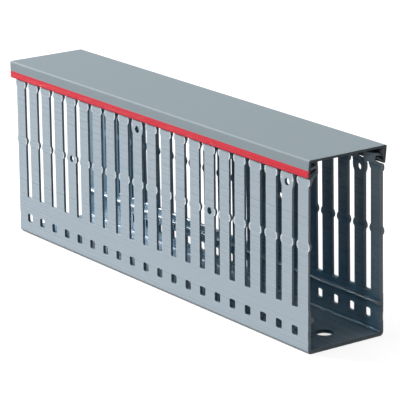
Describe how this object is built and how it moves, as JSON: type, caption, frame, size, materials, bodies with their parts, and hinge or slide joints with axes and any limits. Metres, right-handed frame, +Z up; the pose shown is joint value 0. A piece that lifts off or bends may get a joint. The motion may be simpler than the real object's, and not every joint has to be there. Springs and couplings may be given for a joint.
{
  "type": "slotted wire duct",
  "caption": "Slotted cable trough with hourglass slots, hooked fingers, side and floor holes, and a clip-on cover with a red lengthwise strip.",
  "frame": {"origin": "centre of the trough's underside, midway between its two walls and midway along its slots", "axes": "+X along the duct towards its open end in the picture, +Y across it away from the red strip, +Z up from the floor to the cover"},
  "size_m": [0.2643, 0.0466, 0.0957],
  "materials": {
    "trough_pvc": "satin blue-grey rigid PVC",
    "cover_pvc": "satin blue-grey rigid PVC",
    "red_pvc": "satin red rigid PVC, fine lengthwise lines"
  },
  "bodies": {
    "trough": {"slotted_base": "trough_pvc"},
    "cover": {"snap_cover": "cover_pvc", "color_strip": "red_pvc"}
  },
  "joints": [
    {"name": "cover_slide", "type": "slide", "parent": "trough", "child": "cover", "axis": [1, 0, 0], "range_m": [-0.27, 0.27]}
  ]
}
